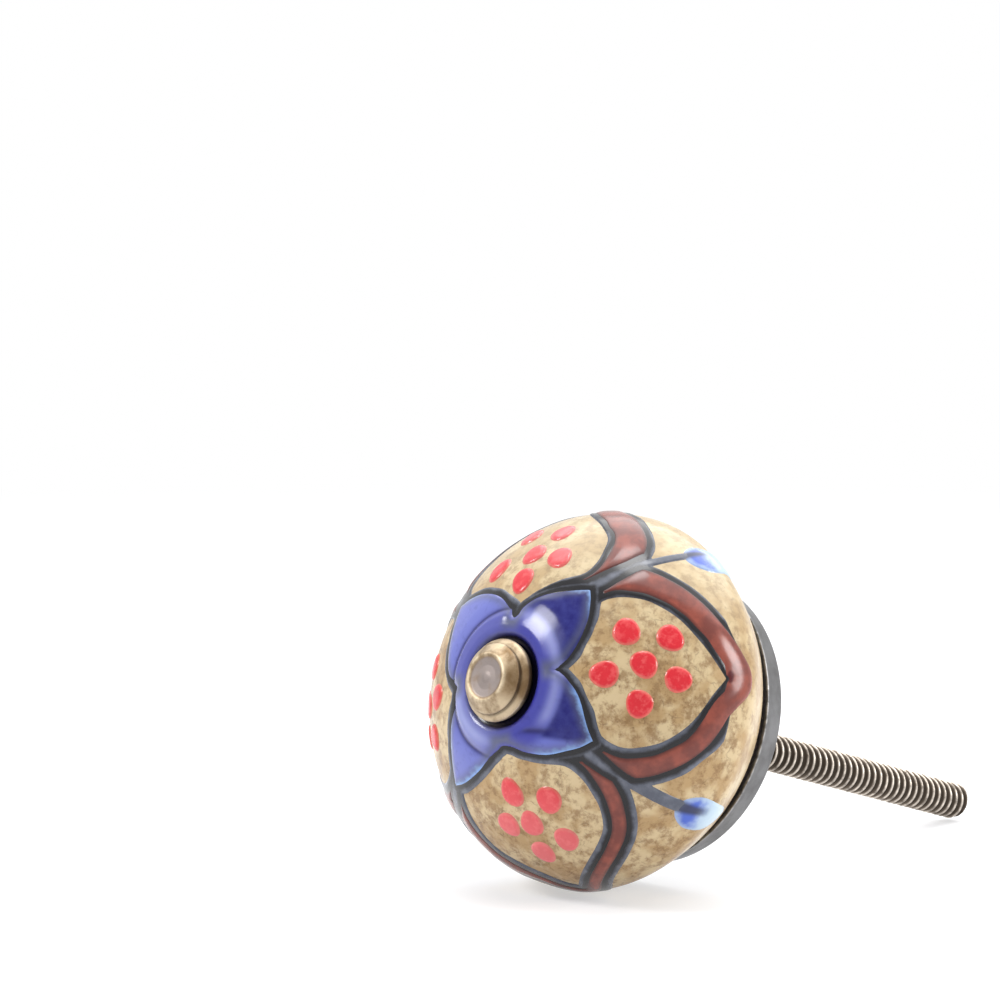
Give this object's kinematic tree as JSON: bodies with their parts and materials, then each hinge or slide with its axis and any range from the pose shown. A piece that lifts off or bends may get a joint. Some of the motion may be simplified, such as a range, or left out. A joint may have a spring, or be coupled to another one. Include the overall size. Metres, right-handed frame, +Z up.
{
  "type": "cabinet knob",
  "caption": "Domed ceramic cabinet knob with raised floral enamel, seated in a pressed metal dish and held by a threaded rod with a turned brass button in front and a nut behind.",
  "frame": {"origin": "on the rod's axis, in the plane of the back plate's rear face, which bears on the door or drawer front", "axes": "+Z up when fixed to an upright door, -Y out towards the hand, +Y along the rod into the door, +X to the left of someone facing the knob's back, so to the right of someone facing its front"},
  "size_m": [0.0384, 0.0769, 0.0385],
  "materials": {
    "ceramic": "tan crackled glaze, satin",
    "plate": "dark gunmetal, satin",
    "gasket": "rough dark fibre",
    "rod": "dull bronzed brass",
    "nut": "dull antique brass",
    "button": "worn antique brass",
    "enamel_blue": "glossy cobalt enamel",
    "enamel_pale_blue": "glossy blue enamel, paler towards the back",
    "enamel_red": "glossy red enamel",
    "enamel_brown": "glossy brown enamel",
    "enamel_black": "charcoal enamel, satin"
  },
  "bodies": {
    "root": {"ceramic_body": "ceramic", "back_plate": "plate", "gasket": "gasket", "threaded_rod": "rod", "hex_nut": "nut", "front_button": "button", "enamel_petals": "enamel_blue", "enamel_drops": "enamel_pale_blue", "enamel_dots": "enamel_red", "enamel_bands": "enamel_brown", "enamel_lines": "enamel_black"}
  },
  "joints": []
}
